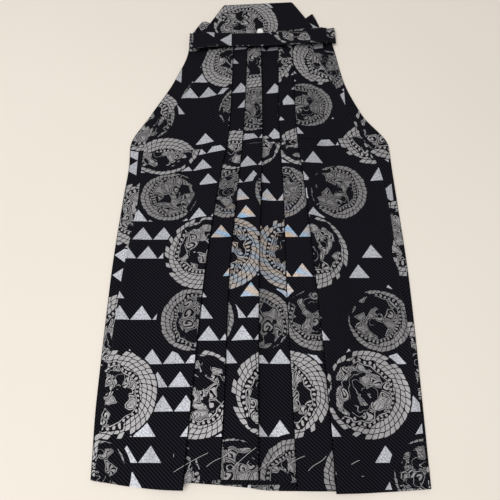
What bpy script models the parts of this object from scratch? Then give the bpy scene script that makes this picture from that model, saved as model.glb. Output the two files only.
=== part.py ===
"""Hakama: pleated divided trousers for a small child, laid flat with the front up.

Sizes are in millimetres and become metres when a mesh is made. X runs across the garment,
Y from the hem to the waist, Z up from the surface that it lies on. Left and right in the
names of pieces are the wearer's, so the right leg is the one at -X.
"""

import math
from collections import namedtuple

import bmesh
import bpy
import numpy as np

MM = 0.001

# Cloth
WALL = 1.05  # thickness of a cloth wall
GAP = 0.3  # air between two cloths that lie on each other
PITCH = WALL + GAP
BEND = PITCH / 2  # radius of a pressed fold at the middle of the wall
TIP = BEND + WALL / 2  # from a fold's outer edge to where its bend starts
SLOPE = 0.3  # steepest way down from a lower layer's edge

# Legs
SIDE_LAP = 8  # the front's side edge lies this far over the back's turned strip
SEAM_IN = 8  # the centre front seam hides this far behind fold C
PLEAT_SHARE = 0.9  # depth of an inner pleat as a share of the panel that it lies under
OUTER_SHARE = 0.8  # depth of an outer pleat as a share of the panel beside it
GUSSET_TOP = 350  # height of the crotch above the hem
HEM_REACH = 120  # the uneven hem fades out at this height

# Outline and folds as laid, by distance from the hem. Fold A is the outermost of the right
# leg's three pleats, D and E are the left leg's two.
Shape = namedtuple("Shape", "y side_r edge_r fold_a fold_b fold_c fold_d fold_e edge_l side_l")
SHAPE = (
    Shape(0, -174, -170, -79, -42, -3, 35, 74, 168, 171),
    Shape(85, -177, -169, -74, -39, -2.5, 33, 71, 169, 173),
    Shape(220, -176, -163, -65, -36, -1, 30, 64, 164, 175),
    Shape(330, -171, -152, -53, -28, 2, 29.5, 57, 160, 172),
    Shape(378, -168, -151, -46, -24, 3.5, 28, 53, 152, 170.5),
    Shape(405, -169, -150, -41, -21.5, 4.5, 27, 50, 139, 170),
    Shape(457, -145, -120, -37.5, -19, 5, 26, 48, 122, 139),
    Shape(513, -117, -91, -36, -17, 4.5, 27, 48, 102, 118),
    Shape(566, -100, -72, -35, -16, 4, 28, 48, 80, 109),
    Shape(600, -98, -67, -35, -16, 4, 28, 48, 77, 103),
)

# Rows across the garment: height at the middle, rise towards +X, and how far the length
# tuck in the front lifts the cloth there.
Row = namedtuple("Row", "y slant tuck")
ROWS = (
    Row(0, 0, 0),
    Row(45, 0, 0),
    Row(95, 0, 0),
    Row(150, 0, 0),
    Row(220, 0, 0),
    Row(290, 0.01, 0),
    Row(345, 0.03, 0),
    Row(385, 0.07, 0),
    Row(407, 0.09, 0),
    Row(412, 0.09, 1.2),
    Row(440, 0.09, 1.0),
    Row(475, 0.08, 0.2),
    Row(520, 0.07, 0),
    Row(556, 0.065, 0),
    Row(582, 0.06, 0),
)
WAIST = ROWS[-1]

# Lines that the layers share, from the right side to the left. Two layers that lie on each
# other both have points on these lines, so they can't cross between them.
LINES = (
    "side_r edge_r strip_r sag_r1 sag_r2 under_a back_in_r fold_a under_b back_fold_r fold_b "
    "under_c seam fold_c fold_d back_fold_l under_d fold_e back_in_l under_e sag_l2 sag_l1 "
    "strip_l edge_l side_l"
).split()

# Every stretch of cloth between two folds or edges, in the order in which they are laid.
# hem_start and hem_end raise the hem at its two ends. bow bends its line between them.
Run = namedtuple("Run", "name sheet start end hem_start hem_end bow")
RUNS = (
    Run("back_r_outer", "back_right_leg", "side_r", "back_fold_r", 8, 7, 1),
    Run("back_l_outer", "back_left_leg", "side_l", "back_fold_l", 0, -2, 1),
    Run("back_r_return", "back_right_leg", "back_fold_r", "back_in_r", 7, 7, 1),
    Run("back_l_return", "back_left_leg", "back_fold_l", "back_in_l", -2, -2, 1),
    Run("back_r_inner", "back_right_leg", "back_in_r", "seam", 7, 0.8, 1.2),
    Run("back_l_inner", "back_left_leg", "back_in_l", "seam", -2, 0.8, 8),
    Run("back_r_strip", "back_right_leg", "strip_r", "side_r", 6, 8, 1),
    Run("back_l_strip", "back_left_leg", "strip_l", "side_l", 0, 0, 1),
    Run("gusset_r_lower", "gusset_right", "seam", "fold_b", 4, 4, 1),
    Run("gusset_r_upper", "gusset_right", "fold_b", "seam", 4, 4, 1),
    Run("gusset_l_lower", "gusset_left", "seam", "fold_d", 4, 4, 1),
    Run("gusset_l_upper", "gusset_left", "fold_d", "seam", 4, 4, 1),
    Run("front_r_centre", "front_right_leg", "seam", "under_c", 9, 9, 1),
    Run("front_l_centre", "front_left_leg", "seam", "under_d", 9, 4, 1),
    Run("return_c", "front_right_leg", "under_c", "fold_c", 9, 9, 1),
    Run("panel_bc", "front_right_leg", "fold_c", "under_b", 9, 9, 1),
    Run("return_b", "front_right_leg", "under_b", "fold_b", 9, 9, 1),
    Run("panel_ab", "front_right_leg", "fold_b", "under_a", 9, 2, 1),
    Run("return_a", "front_right_leg", "under_a", "fold_a", 2, -1, 1),
    Run("front_r_outer", "front_right_leg", "fold_a", "edge_r", -1, 8, 2),
    Run("return_d", "front_left_leg", "under_d", "fold_d", 4, 0, 1),
    Run("panel_de", "front_left_leg", "fold_d", "under_e", 0, -2, 1),
    Run("return_e", "front_left_leg", "under_e", "fold_e", -2, -4, 1),
    Run("front_l_outer", "front_left_leg", "fold_e", "edge_l", -4, 0, 2),
)
FIRST_FRONT_RUN = "front_r_centre"

# The way that each sheet's cloth goes, from one free edge to the other.
PATHS = {
    "back_right_leg": "back_r_strip back_r_outer back_r_return back_r_inner",
    "back_left_leg": "back_l_strip back_l_outer back_l_return back_l_inner",
    "gusset_right": "gusset_r_lower gusset_r_upper",
    "gusset_left": "gusset_l_lower gusset_l_upper",
    "front_right_leg": "front_r_centre return_c panel_bc return_b panel_ab return_a front_r_outer",
    "front_left_leg": "front_l_centre return_d panel_de return_e front_l_outer",
}

# Back board, stiff and covered, with its foot on the waist line
BOARD_TOP_Y = 653
BOARD_TOP_HALF = 50.5
BOARD_FOOT_HALF = 91.5
BOARD_UNDER = 2 * PITCH
BOARD_THICK = 4
BOARD_CORNER = 3
BOARD_RIM = 0.8
BOARD_SLANT = WAIST.slant

# Plastic tongue at the board's foot
TONGUE_WIDTH = 8
TONGUE_THICK = 1.4
TONGUE_X = 2.5
TONGUE_LOW = 583.5
TONGUE_HIGH = 602

# Back ties, folded up behind the board: the corner that shows, the lean, the length on that
# side, how much shorter each millimetre across makes it, and the radius of its corners
TIE_WIDTH = 26
TIE_ROWS = (0, 0.03, 0.1, 0.25, 0.5, 0.75, 0.9, 0.97, 1)
BackTie = namedtuple("BackTie", "name corner_x corner_y lean length side skew corner")
BACK_TIES = (
    BackTie("back_tie_right", -80.5, 624.5, -30, 29.5, -1, 0, 7),
    BackTie("back_tie_left", 80.8, 638, 18, 35.5, 1, 0.45, 3),
)

# Straps across the waist, bottom to top. Each goes through its stops at the given levels,
# level 0 lying lowest, and folds where it turns round. Its ends bend up by rise at STRAP_REACH.
Strap = namedtuple("Strap", "name centre_y slant rise middle_width end_width stops levels")
STRAPS = (
    Strap("front_band", 577, 0.06, 5, 19, 19, (-69, 77), (0,)),
    Strap("front_tie_right", 578, 0.068, 6.4, 22, 32, (-12, -98.5, 111, -10), (0, 1, 0)),
    Strap("front_tie_left", 575, 0.041, 4.9, 23.5, 27, (-38, -92.5, 97, 73), (1, 0, 1)),
)
STRAP_REACH = 100
STRAP_STEP = 9  # spacing of a strap's points along it
STRAP_ROWS = (-0.5, -0.17, 0.17, 0.5)  # rows of points, in widths from its middle
FLARE_FROM = 60  # a strap starts to widen at this distance from the middle
RELIEF_STEP = 2  # spacing of the height map under the straps


def line_at(name, y):
    """X of a shared line at a distance y from the hem."""
    heights = [shape.y for shape in SHAPE]
    at = Shape(*(float(np.interp(y, heights, column)) for column in zip(*SHAPE)))
    ab, bc, de = at.fold_b - at.fold_a, at.fold_c - at.fold_b, at.fold_e - at.fold_d
    under_a, under_e = at.fold_a - OUTER_SHARE * ab, at.fold_e + OUTER_SHARE * de
    under_b = at.fold_b - PLEAT_SHARE * ab
    under_d = at.fold_d + PLEAT_SHARE * de
    strip_r, strip_l = at.edge_r + SIDE_LAP, at.edge_l - SIDE_LAP
    made = {
        "strip_r": strip_r,
        "sag_r1": strip_r + 0.25 * (under_a - strip_r),
        "sag_r2": strip_r + 0.75 * (under_a - strip_r),
        "under_a": under_a,
        "back_in_r": (under_a + at.fold_a) / 2,
        "under_b": under_b,
        "back_fold_r": (under_b + at.fold_b) / 2,
        "under_c": at.fold_c - PLEAT_SHARE * bc,
        "seam": at.fold_c - SEAM_IN,
        "back_fold_l": (at.fold_d + under_d) / 2,
        "under_d": under_d,
        "back_in_l": (at.fold_e + under_e) / 2,
        "under_e": under_e,
        "sag_l2": under_e + 0.25 * (strip_l - under_e),
        "sag_l1": under_e + 0.75 * (strip_l - under_e),
        "strip_l": strip_l,
    }
    return made[name] if name in made else getattr(at, name)


def lay_row(row):
    """Lays every run of one row on those below it: its lines' places, and each run's heights."""
    places = []
    for name in LINES:
        x = line_at(name, row.y)
        x = line_at(name, row.y + row.slant * x)
        places.append((x, row.y + row.slant * x))
    x = [place[0] for place in places]
    top = [-GAP] * len(LINES)
    heights = {}
    for run in RUNS:
        if run.sheet.startswith("gusset") and row.y > GUSSET_TOP:
            continue
        if run.name == FIRST_FRONT_RUN:
            top = [height + row.tuck for height in top]
        first, last = sorted((LINES.index(run.start), LINES.index(run.end)))
        span = range(first, last + 1)
        under = {
            i: max(top[j] + GAP - SLOPE * abs(x[i] - x[j]) for j in span) for i in span
        }
        for i in span:
            top[i] = under[i] + WALL
        heights[run.name] = {i: under[i] + WALL / 2 for i in span}
    return places, heights, top


def run_points(run, row, places, heights):
    """The middle line of one run in one row, in the direction of its sheet's path."""
    first, last = LINES.index(run.start), LINES.index(run.end)
    step = 1 if last > first else -1
    start_x, end_x = places[first][0], places[last][0]
    side = -1 if "right" in run.sheet else 1
    points = []
    for i in range(first, last + step, step):
        x, y = places[i]
        share = ((x - start_x) / (end_x - start_x)) ** run.bow
        hem = run.hem_start + (run.hem_end - run.hem_start) * share
        y += hem * max(0.0, 1 - row.y / HEM_REACH)
        if LINES[i] == "seam" and i in (first, last) and is_free(run, LINES[i]):
            x += side * GAP / 2
        points.append((x, y, heights[run.name][i]))
    return points


def is_free(run, line):
    """Whether a run's end on this line is a free edge of its sheet."""
    path = PATHS[run.sheet].split()
    return (run.name == path[0] and run.start == line) or (
        run.name == path[-1] and run.end == line
    )


def along(point, other, distance):
    """The point that is distance in X from point, on the way to other."""
    share = distance / abs(other[0] - point[0])
    return tuple(a + (b - a) * share for a, b in zip(point, other))


def section(runs):
    """Pairs of points on the two faces of the cloth, along runs that are joined by folds."""
    pairs = []
    for k, run in enumerate(runs):
        way = 1 if run[-1][0] > run[0][0] else -1
        points = list(run)
        if k > 0:
            points[0] = along(run[0], run[1], TIP)
        if k < len(runs) - 1:
            points[-1] = along(run[-1], run[-2], TIP)
        for x, y, z in points:
            half = way * WALL / 2
            pairs.append(((x, y, z + half), (x, y, z - half)))
        if k < len(runs) - 1:
            pairs += fold(points[-1], along(runs[k + 1][0], runs[k + 1][1], TIP), run[-1][1], way)
    return pairs


def fold(start, end, y, way):
    """The rounded edge of a fold, between the ends of the two layers that it joins."""
    up = 1 if end[2] > start[2] else -1
    inward = -way * up
    slant = math.sqrt(0.5)
    around = (
        (slant, -up * slant, start[2] + up * BEND),
        (1, 0, (start[2] + end[2]) / 2),
        (slant, up * slant, end[2] - up * BEND),
    )
    pairs = []
    for out_x, out_z, centre_z in around:
        faces = []
        for side in (1, -1):
            radius = BEND + side * inward * WALL / 2
            faces.append((start[0] + way * out_x * radius, y, centre_z + out_z * radius))
        pairs.append(tuple(faces))
    return pairs


def cloth(name, sections, look, collection):
    """A closed cloth wall through its sections, one section for each row."""
    mesh = bmesh.new()
    rings = []
    for pairs in sections:
        points = [pair[0] for pair in pairs] + [pair[1] for pair in reversed(pairs)]
        rings.append([mesh.verts.new([c * MM for c in point]) for point in points])
    count = len(rings[0])
    for low, high in zip(rings, rings[1:]):
        for i in range(count):
            a, b = sorted((i, (i + 1) % count), key=lambda n: low[n].co.x)
            mesh.faces.new((low[a], low[b], high[b], high[a]))
    for ring in (rings[0], rings[-1]):
        for i in range(count // 2 - 1):
            mesh.faces.new((ring[i], ring[i + 1], ring[-2 - i], ring[-1 - i]))
    bmesh.ops.triangulate(mesh, faces=mesh.faces, quad_method="FIXED")
    bmesh.ops.recalc_face_normals(mesh, faces=mesh.faces)
    return finish(name, mesh, look, collection)


def finish(name, mesh, look, collection):
    """Turns a bmesh into a named object with its material."""
    data = bpy.data.meshes.new(name)
    mesh.to_mesh(data)
    mesh.free()
    data.materials.append(look)
    part = bpy.data.objects.new(name, data)
    collection.objects.link(part)
    return part


def material(name, colour, roughness):
    look = bpy.data.materials.new(name)
    look.use_nodes = True
    shader = look.node_tree.nodes["Principled BSDF"]
    shader.inputs["Base Color"].default_value = (*colour, 1)
    shader.inputs["Roughness"].default_value = roughness
    shader.inputs["Metallic"].default_value = 0
    return look


def legs(look, collection):
    """The four leg panels and the two gussets. Returns each row's places and top heights."""
    laid = [lay_row(row) for row in ROWS]
    for sheet, path in PATHS.items():
        runs = [next(run for run in RUNS if run.name == name) for name in path.split()]
        sections = []
        for row, (places, heights, _) in zip(ROWS, laid):
            if runs[0].name in heights:
                sections.append(section([run_points(r, row, places, heights) for r in runs]))
        cloth(sheet, sections, look(sheet), collection)
    return laid


def board_half_width(y):
    """Half the board's width at height y above the hem, before its slant."""
    return np.interp(y, (WAIST.y, BOARD_TOP_Y), (BOARD_FOOT_HALF, BOARD_TOP_HALF))


def back_board(look, collection):
    """The stiff trapezoid board above the back waist, with rounded corners and rims."""
    foot = WAIST.y + GAP
    corners = (
        (-BOARD_FOOT_HALF, foot),
        (BOARD_FOOT_HALF, foot),
        (BOARD_TOP_HALF, BOARD_TOP_Y),
        (-BOARD_TOP_HALF, BOARD_TOP_Y),
    )
    mesh = bmesh.new()
    outline = [
        mesh.verts.new((x * MM, (y + BOARD_SLANT * x) * MM, BOARD_UNDER * MM)) for x, y in corners
    ]
    base = mesh.faces.new(outline)
    raised = bmesh.ops.extrude_face_region(mesh, geom=[base])
    lifted = [v for v in raised["geom"] if isinstance(v, bmesh.types.BMVert)]
    bmesh.ops.translate(mesh, verts=lifted, vec=(0, 0, BOARD_THICK * MM))
    bmesh.ops.recalc_face_normals(mesh, faces=mesh.faces)
    upright = [e for e in mesh.edges if abs(e.verts[0].co.z - e.verts[1].co.z) > MM]
    bmesh.ops.bevel(
        mesh, geom=upright, offset=BOARD_CORNER * MM, segments=3, profile=0.5, affect="EDGES"
    )
    board = finish("back_board", mesh, look, collection)
    rim = board.modifiers.new("rim", "BEVEL")
    rim.width = BOARD_RIM * MM
    rim.segments = 2
    rim.limit_method = "ANGLE"
    rim.angle_limit = math.radians(60)
    return board


def board_spatula(look, collection):
    """The plastic tongue that lies on the board's inner face and runs in behind the ties."""
    mesh = bmesh.new()
    bmesh.ops.create_cube(mesh, size=1)
    low_z = BOARD_UNDER + BOARD_THICK + GAP
    for vert in mesh.verts:
        vert.co.x = (TONGUE_X + vert.co.x * TONGUE_WIDTH) * MM
        vert.co.y = (TONGUE_LOW if vert.co.y < 0 else TONGUE_HIGH) * MM
        vert.co.z = (low_z + (vert.co.z + 0.5) * TONGUE_THICK) * MM
    upright = [e for e in mesh.edges if abs(e.verts[0].co.z - e.verts[1].co.z) > 0.5 * MM]
    bmesh.ops.bevel(
        mesh, geom=upright, offset=TONGUE_WIDTH * 0.3 * MM, segments=4, profile=0.5, affect="EDGES"
    )
    return finish("board_spatula", mesh, look, collection)


def tie_reach(tie, across):
    """Length of a back tie from its foot to its fold, at a distance across it."""
    inset = max(tie.corner - across, across - (TIE_WIDTH - tie.corner), 0)
    rounded = tie.corner - math.sqrt(tie.corner**2 - inset**2)
    return tie.length - tie.skew * across - rounded


def back_tie(tie, look, collection):
    """A back tie folded double, its fold upwards, leaning in behind the board."""
    lean = math.radians(tie.lean)
    up = (-math.sin(lean), math.cos(lean))
    across = (-tie.side * math.cos(lean), -tie.side * math.sin(lean))
    foot = [tie.corner_x - tie.length * up[0], tie.corner_y - tie.length * up[1]]
    low, high = WALL / 2, WALL / 2 + PITCH
    sections = []
    for share in TIE_ROWS:
        reach = tie_reach(tie, share * TIE_WIDTH)
        runs = (
            ((0, 0, low), (reach / 2, 0, low), (reach, 0, low)),
            ((reach, 0, high), (reach / 2, 0, high), (0, 0, high)),
        )
        shift = [foot[k] + share * TIE_WIDTH * across[k] for k in (0, 1)]
        sections.append(
            [
                tuple((shift[0] + v * up[0], shift[1] + v * up[1], z) for v, _, z in pair)
                for pair in section(runs)
            ]
        )
    return cloth(tie.name, sections, look, collection)


def waist_relief(laid):
    """Heights of what lies under the straps, on a fine grid: its X, its Y and the heights."""
    xs = np.arange(-112, 124, RELIEF_STEP, dtype=float)
    ys = np.arange(540, 620, RELIEF_STEP, dtype=float)
    relief = np.zeros((len(xs), len(ys)))
    for i, x in enumerate(xs):
        row_y = [row.y + row.slant * x for row in ROWS]
        row_top = [np.interp(x, [p[0] for p in places], top) for places, _, top in laid]
        panels = np.where(ys <= row_y[-1] + 1, np.interp(ys, row_y, row_top), 0)
        level_y = ys - BOARD_SLANT * x
        board = np.where(abs(x) <= board_half_width(level_y) + 2, BOARD_UNDER + BOARD_THICK, 0)
        relief[i] = np.maximum(panels, np.where(level_y > WAIST.y - 2, board, 2 * PITCH))
    on_tongue = abs(xs - TONGUE_X) < TONGUE_WIDTH / 2 + RELIEF_STEP
    beside = (ys > TONGUE_LOW - RELIEF_STEP) & (ys < TONGUE_HIGH + RELIEF_STEP)
    relief[np.ix_(on_tongue, beside)] = BOARD_UNDER + BOARD_THICK + GAP + TONGUE_THICK
    return xs, ys, relief


def strap(spec, ground, look, collection):
    """A flat strap that rests on the relief below it, and is added to that relief."""
    xs, ys, relief = ground
    low_x, high_x = min(spec.stops), max(spec.stops)
    nodes = np.linspace(low_x, high_x, round((high_x - low_x) / STRAP_STEP) + 1)
    step = nodes[1] - nodes[0]
    flare = np.clip((abs(nodes) - FLARE_FROM) / (high_x - FLARE_FROM), 0, 1)
    width = spec.middle_width + (spec.end_width - spec.middle_width) * flare
    middle = spec.centre_y + spec.slant * nodes + spec.rise * (nodes / STRAP_REACH) ** 2
    rows = np.array([middle + share * width for share in STRAP_ROWS])
    reach = max(width) / 3 + RELIEF_STEP
    base = np.zeros(rows.shape)
    for j, row in enumerate(rows):
        for i, (x, y) in enumerate(zip(nodes, row)):
            near = np.ix_(abs(xs - x) <= step + RELIEF_STEP, abs(ys - y) <= reach)
            base[j, i] = relief[near].max() + GAP
    runs = list(zip(spec.stops, spec.stops[1:], spec.levels))
    sections = []
    for j, row in enumerate(rows):
        lines = []
        for start, end, level in runs:
            inner = [x for x in nodes if min(start, end) + TIP < x < max(start, end) - TIP]
            stops = [start, *(inner if end > start else reversed(inner)), end]
            lines.append(
                [
                    (
                        x,
                        float(np.interp(x, nodes, row)),
                        float(np.interp(x, nodes, base[j])) + level * PITCH + WALL / 2,
                    )
                    for x in stops
                ]
            )
        sections.append(section(lines))
    for i, x in enumerate(xs):
        level = max(
            (r[2] for r in runs if min(r[:2]) - RELIEF_STEP <= x <= max(r[:2]) + RELIEF_STEP),
            default=None,
        )
        if level is not None:
            edges = [np.interp(x, nodes, rows[k]) for k in (0, -1)]
            covered = (ys >= edges[0] - RELIEF_STEP) & (ys <= edges[1] + RELIEF_STEP)
            near = abs(nodes - x) <= step + RELIEF_STEP
            relief[i, covered] = base[:, near].max() + level * PITCH + WALL
    return cloth(spec.name, sections, look, collection)


def centre_on_base(parts):
    """Moves the meshes so that the middle of the garment's underside is the origin."""
    bpy.context.view_layer.update()
    points = np.array([v.co for part in parts for v in part.data.vertices])
    low, high = points.min(axis=0), points.max(axis=0)
    shift = (-(low[0] + high[0]) / 2, -(low[1] + high[1]) / 2, -low[2])
    for part in parts:
        for vert in part.data.vertices:
            vert.co.x += shift[0]
            vert.co.y += shift[1]
            vert.co.z += shift[2]


def main():
    for old in list(bpy.data.objects):
        bpy.data.objects.remove(old, do_unlink=True)
    collection = bpy.data.collections.new("hakama")
    bpy.context.scene.collection.children.link(collection)

    def black_cloth(name):
        return material(name + "_cloth", (0.018, 0.018, 0.021), 0.75)

    laid = legs(black_cloth, collection)
    back_board(black_cloth("back_board"), collection)
    board_spatula(material("white_plastic", (0.85, 0.85, 0.83), 0.4), collection)
    for tie in BACK_TIES:
        back_tie(tie, black_cloth(tie.name), collection)
    ground = waist_relief(laid)
    for spec in STRAPS:
        strap(spec, ground, black_cloth(spec.name), collection)
    centre_on_base(list(collection.objects))


main()
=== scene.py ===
import math
from collections import namedtuple

import bpy
import numpy as np
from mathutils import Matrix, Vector
from mathutils.bvhtree import BVHTree


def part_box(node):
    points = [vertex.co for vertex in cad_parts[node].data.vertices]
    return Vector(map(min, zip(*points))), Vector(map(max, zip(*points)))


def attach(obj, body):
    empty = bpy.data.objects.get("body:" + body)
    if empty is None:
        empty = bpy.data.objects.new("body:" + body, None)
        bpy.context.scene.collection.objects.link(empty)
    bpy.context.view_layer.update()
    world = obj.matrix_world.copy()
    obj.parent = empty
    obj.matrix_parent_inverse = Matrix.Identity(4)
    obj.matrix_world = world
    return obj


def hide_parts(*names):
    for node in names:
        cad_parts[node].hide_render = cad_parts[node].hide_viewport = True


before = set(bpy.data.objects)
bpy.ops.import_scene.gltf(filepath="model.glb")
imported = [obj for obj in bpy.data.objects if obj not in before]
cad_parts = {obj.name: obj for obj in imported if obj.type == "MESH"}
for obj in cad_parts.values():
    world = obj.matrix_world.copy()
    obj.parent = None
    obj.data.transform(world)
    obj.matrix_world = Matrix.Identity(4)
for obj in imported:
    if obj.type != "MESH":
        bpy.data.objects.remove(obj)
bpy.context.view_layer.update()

# The view, floor and light. The garment lies on a smooth pale floor and is seen from above its
# hem, tilted a little towards the waist. Sizes in this file are in millimetres: X runs across
# the garment, Y from the hem to the waist, Z up. `place` turns them into metres in the frame.
# The tongue's box in the frame says how far these millimetres are shifted there.
MM = 0.001
TONGUE_MIDDLE_X = 2.5
TONGUE_LOW_Y = 583.5
low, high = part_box("board_spatula")
SHIFT = np.array(((low.x + high.x) / 2 - TONGUE_MIDDLE_X * MM, low.y - TONGUE_LOW_Y * MM, 0))


def place(points):
    """Points given in millimetres from the hem, as metres in the frame."""
    return np.asarray(points, float) * MM + SHIFT


def add_object(name, data):
    """A new object in the scene with this data."""
    thing = bpy.data.objects.new(name, data)
    bpy.context.scene.collection.objects.link(thing)
    return thing


camera = add_object("camera", bpy.data.cameras.new("camera"))
camera.data.lens = 36
camera.data.sensor_width = 36
camera.data.clip_start = 0.02
camera.location = place((-12, 36.7, 560))
camera.rotation_euler = (math.radians(21.8), 0, 0)
bpy.context.scene.camera = camera


class Paint:
    """A value in a tree of nodes. A sum on it adds the Math nodes for that sum."""

    def __init__(self, tree, socket=None):
        self.tree = tree
        self.socket = socket

    def node(self, kind, settings, inputs, output=0):
        """Adds a node: its settings first, then the values or links of its sockets."""
        added = self.tree.nodes.new(kind)
        for name, value in settings.items():
            setattr(added, name, value)
        for name, value in inputs.items():
            if isinstance(value, Paint):
                self.tree.links.new(value.socket, added.inputs[name])
            else:
                added.inputs[name].default_value = value
        return Paint(self.tree, added.outputs[output] if added.outputs else None)

    def math(self, operation, *values):
        return self.node("ShaderNodeMath", {"operation": operation}, dict(enumerate(values)))

    def __add__(self, other):
        return self.math("ADD", self, other)

    def __radd__(self, other):
        return self.math("ADD", other, self)

    def __sub__(self, other):
        return self.math("SUBTRACT", self, other)

    def __rsub__(self, other):
        return self.math("SUBTRACT", other, self)

    def __mul__(self, other):
        return self.math("MULTIPLY", self, other)

    def __truediv__(self, other):
        return self.math("DIVIDE", self, other)

    def __gt__(self, other):
        return self.math("GREATER_THAN", self, other)

    def __lt__(self, other):
        return self.math("LESS_THAN", self, other)

    def __abs__(self):
        return self.math("ABSOLUTE", self)

    def floor(self):
        return self.math("FLOOR", self)

    def sine(self):
        return self.math("SINE", self)

    def ease(self, low, high):
        """0 below low, 1 above high and a smooth rise between."""
        inputs = {"Value": self, "From Min": low, "From Max": high}
        return self.node("ShaderNodeMapRange", {"interpolation_type": "SMOOTHSTEP"}, inputs)

    def here(self):
        """The place on the object in metres."""
        return self.node("ShaderNodeTexCoord", {}, {}, "Object")

    def part(self, axis):
        """One coordinate of this place."""
        return self.node("ShaderNodeSeparateXYZ", {}, {0: self}, axis)

    def vector(self, operation, inputs):
        """A sum with this place as its first term."""
        return self.node("ShaderNodeVectorMath", {"operation": operation}, {0: self, **inputs})

    def noise(self, scale, detail, output=0):
        """Soft noise over these places: a number, or a colour from output 1."""
        inputs = {"Vector": self, "Scale": scale, "Detail": detail}
        return self.node("ShaderNodeTexNoise", {}, inputs, output)

    def cells(self, scale, randomness, output, feature="F1"):
        """Round cells over these places, by one output of their texture."""
        settings = {"voronoi_dimensions": "2D", "feature": feature}
        inputs = {"Vector": self, "Scale": scale, "Randomness": randomness}
        return self.node("ShaderNodeTexVoronoi", settings, inputs, output)

    def bump(self, strength, depth):
        """The slope of a surface whose height is this number."""
        inputs = {"Strength": strength, "Distance": depth, "Height": self}
        return self.node("ShaderNodeBump", {}, inputs)

    def between(self, low, high):
        """Goes from one colour to another as this number goes from 0 to 1."""
        inputs = {"Factor": self, 6: low, 7: high}
        return self.node("ShaderNodeMix", {"data_type": "RGBA"}, inputs, 2)

    def colour(self, red, green, blue):
        return self.node("ShaderNodeCombineColor", {}, {0: red, 1: green, 2: blue})


def new_look(name):
    """A new material, and a Paint to build its nodes with."""
    look = bpy.data.materials.new(name)
    look.use_nodes = True
    look.node_tree.nodes.clear()
    return look, Paint(look.node_tree)


def finish_look(paint, constants, links):
    """Ends a material with its shader: constants stand on its sockets, links feed the rest."""
    surface = paint.node("ShaderNodeBsdfPrincipled", {}, {**constants, **links})
    paint.node("ShaderNodeOutputMaterial", {}, {"Surface": surface})


FLOOR_HALF = 4000
FLOOR_LEVEL = -0.3
floor_look, paint = new_look("pale_floor")
cloudy = paint.here().noise(2.5, 2.0)
finish_look(
    paint,
    {"Roughness": 0.6, "Specular IOR Level": 0.2},
    {"Base Color": cloudy.between((0.78, 0.72, 0.645, 1), (0.84, 0.78, 0.71, 1))},
)
floor_mesh = bpy.data.meshes.new("floor")
floor_corners = [
    (x * FLOOR_HALF * MM, y * FLOOR_HALF * MM, FLOOR_LEVEL * MM)
    for x, y in ((-1, -1), (1, -1), (1, 1), (-1, 1))
]
floor_mesh.from_pydata(floor_corners, [], [(0, 1, 2, 3)])
floor_mesh.materials.append(floor_look)
floor = add_object("floor", floor_mesh)


def soft_light(name, location, size, watts, colour):
    """A large square lamp at a place in metres, facing the garment."""
    lamp = bpy.data.lights.new(name, "AREA")
    lamp.size = size
    lamp.energy = watts
    lamp.color = colour
    thing = add_object(name, lamp)
    thing.location = location
    thing.rotation_euler = Vector(location).to_track_quat("Z", "Y").to_euler()


soft_light("window_light", (-0.5, -0.5, 1.85), 1.5, 31.5, (1.0, 0.985, 0.97))
world = bpy.data.worlds.new("room")
world.use_nodes = True
world.node_tree.nodes["Background"].inputs["Color"].default_value = (1.0, 0.99, 0.97, 1)
world.node_tree.nodes["Background"].inputs["Strength"].default_value = 0.41
bpy.context.scene.world = world
bpy.context.scene.view_settings.view_transform = "Standard"

# The printed cloth. Black polyester with a fine diagonal rib, printed with silver foil: bright
# and dark roundels of petals, beads and curls, and short rows of small triangles. Every piece
# carries its place on the flat cloth in a UV map, so the print jumps where a pleat hides cloth.
RIB_PITCH = 2.9
RIB_BUMP = (0.55, 0.00018)  # strength, and depth in metres
BRIGHT_RADIUS = 47
BRIGHT_CELL = (146, 162, 0.38)  # width, height, and how far each row moves on
BRIGHT_SHIFT = (21, 12)
DARK_RADIUS = 40
DARK_CELL = (131, 162, 0.27)
DARK_SHIFT = (64, 93)
TRIANGLE_CELL = (25.2, 25, 0.31)
TRIANGLE_SHIFT = (7, 45.25)
TRIANGLE_HIGH = 16.5
TRIANGLE_HALF = 12.1
PETAL_SIZE = 5.4
CURL_SIZE = 12
CURL_BEND = 14
SHEEN_MIDDLE_Y = 262
SHEEN_HALF = (75, 85)
TWO_PI = 2 * math.pi


def lattice(u, v, cell, shift):
    """Cuts the cloth into cells: the place from a cell's middle, and its column and row."""
    width, height, offset = cell
    level = (v - shift[1]) / height
    row = level.floor()
    across = (u - shift[0]) / width + row * offset
    column = across.floor()
    return (across - column - 0.5) * width, (level - row - 0.5) * height, column, row


def chance(column, row, seed):
    """A random number from 0 to 1 for each cell."""
    cell = row.node("ShaderNodeCombineXYZ", {}, {"X": column, "Y": row, "Z": seed})
    return cell.node("ShaderNodeTexWhiteNoise", {"noise_dimensions": "3D"}, {"Vector": cell})


def far_and_angle(x, y):
    """The distance from a middle, and the angle round it."""
    return x.math("SQRT", x * x + y * y), x.math("ARCTAN2", y, x)


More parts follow.
